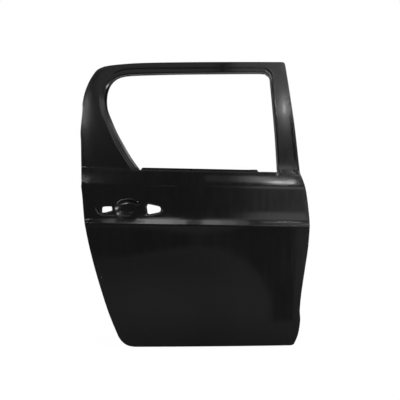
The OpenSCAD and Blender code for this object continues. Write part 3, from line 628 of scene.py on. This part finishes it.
class DOOR_OT_window_moulding(bpy.types.Operator):
    """Step, lip and return flange round the window: a profile between the skin's edge and the light's edge"""

    bl_idname = "door_shell.window_moulding"
    bl_label = "Window moulding"

    def execute(self, context):
        step, run = sizes().step_depth, sizes().run_depth
        # mm outward, share of the way to the lip down the rear edge and along the roof, depth
        profile = np.array(
            [(10, 0, 0, 0.5), (9.4, 0, 0, 0.1), (8.8, 0, 0, -0.07), (7.5, 0, 0, -0.1), (5.5, 0, 0, -0.12),
             (4.6, 0, 0, -0.2), (3.8, 0, 0, -0.15), (3, 0, 0, 0.15), (2.2, 0, 0, 0.6), (1.4, 0, 0, 1.0),
             (0.5, 0, 0, 1.4), (0, 0.04, 0.2, 1.6), (0, 0.09, 0.45, 1.35), (0, 0.14, 0.6, 0.9), (0, 0.18, 0.7, 0.7),
             (0, 0.22, 0.76, 0.85), (0, 0.27, 0.8, 1.45), (0, 0.33, 0.84, 2.15), (0, 0.39, 0.87, 2.7),
             (0, 0.43, 0.89, 2.75), (0, 0.48, 0.91, 2.2), (0, 0.52, 0.93, 1.55), (0, 0.56, 0.945, 1.3),
             (0, 0.6, 0.955, 1.45), (0, 0.65, 0.965, 2.05), (0, 0.72, 0.975, 2.9), (0, 0.79, 0.98, step - 0.3),
             (0, 0.86, 0.985, step + 0.4), (0, 0.93, 0.99, step + 1.6), (0, 1, 1, step + 2.6), (0, 1, 1, run),
             (1.2, 1, 1, run), (1.2, 0.9, 0.97, step + 3), (0, 0.6, 0.88, step + 0.8), (0, 0.3, 0.7, 2.6),
             (0, 0, 0, 3), (2, 0, 0, 2.4), (4, 0, 0, 1.4), (9, 0, 0, 1)]
        )
        both = evenly(np.column_stack([WINDOW_SKIN, WINDOW_LIGHT]), 3.5, closed=False)
        skin, light = both[:, :2], both[:, 2:]
        out = -inward(skin, closed=False)
        off, rear, roof, deep = profile.T
        top = rise(skin[:, 1], 500, 585)[:, None]
        lip = np.where(skin[:, :1] < 0, 1 - 0.36 * rise(skin[:, 1:], 300, 450), 0.66)
        lip = lip * (1 - top) + 0.92 * top
        k = (rear * (1 - top) + roof * top) * lip
        p = skin[:, None] * (1 - k[..., None]) + light[:, None] * k[..., None] + out[:, None] * off[:, None]
        flat = p.reshape(-1, 2)
        y = face_y(flat) + np.tile(deep, len(skin))
        faces = band_faces(len(skin), len(profile), False, True)
        piece = put("window_moulding", with_y(flat, y), faces.tolist(), sharp=50)
        settle(piece, "outer_panel", "outer")
        return {"FINISHED"}


class DOOR_OT_belt_flange(bpy.types.Operator):
    """Belt edge of the skin with its upright flange, a profile carried along the belt line"""

    bl_idname = "door_shell.belt_flange"
    bl_label = "Belt flange"

    def execute(self, context):
        high = sizes().flange_height
        x = np.linspace(-268, 362, 240)
        belt = 150 - 13 * (x + 264) / 623 + 2.6 * rise(x, 200, 300)
        tall = rise(x, -232, -224) * (1 - rise(x, 262, 272))
        # height above the belt line, share of the flange's height, depth
        profile = np.array(
            [(-15, 0, 0), (-7, 0, 0), (-3, 0, 0.05), (-1.2, 0, 0.3), (-0.3, 0, 0.9), (0, 0, 1.8), (0, 0, 6.8),
             (0, 0.1, 7.6), (0, 0.2, 8), (0, 0.93, 8), (0, 0.99, 8.25), (0, 1, 8.6), (0, 0.98, 9), (0, 0.15, 9),
             (-1, 0, 8.6), (-1, 0, 2.2), (-2, 0, 1.2), (-15, 0, 1)]
        )
        above, share, deep = profile.T
        z = belt[:, None] + above + share * high * tall[:, None]
        flat = np.column_stack([np.repeat(x, len(profile)), z.ravel()])
        low = np.minimum(flat[:, 1], np.repeat(belt, len(profile)))
        y = face_y(np.column_stack([flat[:, 0], low])) + np.tile(deep, len(x)) + 0.3 * (flat[:, 1] - low)
        faces = band_faces(len(x), len(profile), False, True)[:, ::-1]
        piece = put("belt_flange", with_y(flat, y), faces.tolist(), sharp=50)
        settle(piece, "outer_panel", "outer")
        return {"FINISHED"}


class DOOR_OT_cad_finishes(bpy.types.Operator):
    """Primer and mastic on the carried-over plates, brackets and beam, and a near-black painted shade on the run
    channels
    """

    bl_idname = "door_shell.cad_finishes"
    bl_label = "Plates and channels"

    def execute(self, context):
        for name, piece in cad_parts.items():
            which = "inner" if name.startswith("inner_") and "belt" not in name else "plate"
            piece.data.materials.clear()
            if name == "beam_mastic_pads":
                f = Finish("mastic")
                lumps = f.noise(60.0, 4.0)
                tone = f.mix(lumps.ramp(0.3, 0.7), (0.05, 0.048, 0.045), (0.085, 0.08, 0.075))
                piece.data.materials.append(f.done(tone, 0.75 + lumps * 0.1, f.bump(lumps, 0.4, 0.002), specular=0.3))
            elif name.endswith("run_channel"):
                # The run channels get the near-black painted shade of their recess.
                piece.data.materials.append(rubber())
            else:
                piece.data.materials.append(coat(which))
        return {"FINISHED"}


class DOOR_OT_studio(bpy.types.Operator):
    """Camera at the photograph's place, pale floor, white surroundings and soft lamps overhead"""

    bl_idname = "door_shell.studio"
    bl_label = "Studio"

    def execute(self, context):
        scene = context.scene
        cam = bpy.data.cameras.new("camera")
        cam.sensor_width, cam.lens, cam.clip_start, cam.clip_end = 36.0, 36.0 * 4.5 / 1.68, 0.05, 100.0
        eye = bpy.data.objects.new("camera", cam)
        eye.location = (-0.437, -0.0688451 - 4.5, 0.021)
        eye.rotation_euler = (np.pi / 2, 0, 0)
        scene.collection.objects.link(eye)
        scene.camera = eye
        self.surroundings(scene)
        for name, place, aim, wide, tall, radiance in SOFTBOXES:
            lamp = bpy.data.lights.new(name, "AREA")
            lamp.shape, lamp.size, lamp.size_y = "RECTANGLE", wide, tall
            lamp.energy = radiance * np.pi * wide * tall
            box = bpy.data.objects.new(name, lamp)
            box.location = place
            box.rotation_euler = (Vector(aim) - Vector(place)).to_track_quat("-Z", "Y").to_euler()
            box.visible_camera = False
            box.visible_diffuse = name != "side_strip"
            scene.collection.objects.link(box)
        for name, across, near, far, radiance in CARDS:
            ends = [Vector(((x + PLACE[0]) / 1000, (PLACE[1] - d) / 1000, z / 1000)) for x, (d, z) in zip(across, (near, far))]
            lamp = bpy.data.lights.new(name, "AREA")
            wide = (across[1] - across[0]) / 1000
            tall = np.hypot(far[0] - near[0], far[1] - near[1]) / 1000
            lamp.shape, lamp.size, lamp.size_y = "RECTANGLE", wide, tall
            lamp.energy = radiance * np.pi * wide * tall
            box = bpy.data.objects.new(name, lamp)
            box.location = (ends[0] + ends[1]) / 2
            box.rotation_euler = (np.arctan2(near[1] - far[1], far[0] - near[0]), 0, 0)
            box.visible_camera = box.visible_diffuse = False
            scene.collection.objects.link(box)
        f = Finish("floor")
        mesh = bpy.data.meshes.new("floor")
        low = CAD_BOX[0][2] - 0.0005
        mesh.from_pydata([(-2.4, -7.5, low), (1.5, -7.5, low), (1.5, 3.0, low), (-2.4, 3.0, low)], [], [(0, 1, 2, 3)])
        floor = bpy.data.objects.new("floor", mesh)
        scene.collection.objects.link(floor)
        grey = f.node("ShaderNodeBsdfDiffuse", {}, (0.52, 0.52, 0.52, 1.0))
        glow = f.node("ShaderNodeEmission", {}, (1, 1, 1, 1), 1.04)
        path = f.node("ShaderNodeLightPath", {}, out="Is Camera Ray")
        mixed = f.node("ShaderNodeMixShader", {}, path * 0.93, grey, glow)
        end = f.tree.nodes.new("ShaderNodeOutputMaterial")
        f.tree.links.new(mixed.socket, end.inputs[0])
        mesh.materials.append(f.material)
        x, low, high = np.array(FLAG, float).T
        self.flag(scene, "flag", FLAG_AT, x, low, high, 0.2)
        for name, x, (z0, z1), at, glow in CUP_CARDS:
            self.flag(scene, name, at, np.array(x), np.array([z0, z0]), np.array([z1, z1]), glow)
        scene.view_settings.view_transform = "Standard"
        return {"FINISHED"}

    def flag(self, scene, name, at, x, low, high, radiance):
        """A card that only reflections see: columns between its lower and its upper edge, at a Y for each."""
        n = len(x)
        points = np.column_stack([np.tile(x, 2), np.repeat(at, n), np.concatenate([low, high])])
        mesh = bpy.data.meshes.new(name)
        mesh.from_pydata((points + PLACE) / 1000, [], [(i, i + 1, n + i + 1, n + i) for i in range(n - 1)])
        card = bpy.data.objects.new(name, mesh)
        scene.collection.objects.link(card)
        f = Finish(name + "_cloth")
        glow = f.node("ShaderNodeEmission", {}, (1, 1, 1, 1), radiance)
        end = f.tree.nodes.new("ShaderNodeOutputMaterial")
        f.tree.links.new(glow.socket, end.inputs[0])
        mesh.materials.append(f.material)
        card.visible_camera = card.visible_diffuse = card.visible_shadow = card.visible_transmission = False

    def surroundings(self, scene):
        """White where the camera looks and behind the door, an even grey light elsewhere."""
        world = bpy.data.worlds.new("surroundings")
        scene.world = world
        world.use_nodes = True
        f = Finish.__new__(Finish)
        f.tree = world.node_tree
        f.tree.nodes.clear()
        rays = {k: f.node("ShaderNodeLightPath", {}, out=k) for k in ("Is Camera Ray", "Is Transmission Ray", "Is Glossy Ray")}
        way = f.node("ShaderNodeTexCoord", {}, out="Generated")
        behind = f.node("ShaderNodeSeparateXYZ", {}, way, out="Y").ramp(0.0, 0.35)
        right = f.node("ShaderNodeSeparateXYZ", {}, way, out="X").ramp(0.0, 0.34)
        mirrored = rays["Is Glossy Ray"]
        strength = (1 - mirrored) * 0.9 + mirrored * (behind * 0.8 + right * 0.6 + 0.2)
        shown = rays["Is Camera Ray"] + rays["Is Transmission Ray"]
        strength = strength * (1 - shown) + shown
        light = f.node("ShaderNodeBackground", {}, (1, 1, 1, 1), strength)
        end = f.tree.nodes.new("ShaderNodeOutputWorld")
        f.tree.links.new(light.socket, end.inputs[0])


class DOOR_PT_panel(bpy.types.Panel):
    """The door shell's sizes, finishes and pieces"""

    bl_idname = "DOOR_PT_panel"
    bl_label = "Door shell"
    bl_space_type = "VIEW_3D"
    bl_region_type = "UI"
    bl_category = "Door Shell"

    def draw(self, context):
        for group in (context.scene.door_shell_sizes, context.scene.door_shell_finish):
            for name in group.__annotations__:
                self.layout.prop(group, name)
        for operator in OPERATORS:
            self.layout.operator(operator.bl_idname)


OPERATORS = (
    DOOR_OT_studio,
    DOOR_OT_outer_skin,
    DOOR_OT_handle_recess,
    DOOR_OT_hem,
    DOOR_OT_window_moulding,
    DOOR_OT_belt_flange,
    DOOR_OT_cad_finishes,
)
CLASSES = (DoorShellSizes, DoorShellFinish, *OPERATORS, DOOR_PT_panel)


def register():
    for cls in CLASSES:
        bpy.utils.register_class(cls)
    bpy.types.Scene.door_shell_sizes = PointerProperty(type=DoorShellSizes)
    bpy.types.Scene.door_shell_finish = PointerProperty(type=DoorShellFinish)


def unregister():
    del bpy.types.Scene.door_shell_finish
    del bpy.types.Scene.door_shell_sizes
    for cls in reversed(CLASSES):
        bpy.utils.unregister_class(cls)


def main():
    register()
    for operator in OPERATORS:
        group, name = operator.bl_idname.split(".")
        if getattr(getattr(bpy.ops, group), name)() != {"FINISHED"}:
            raise RuntimeError(operator.bl_label + " did not finish")


if __name__ == "__main__":
    main()
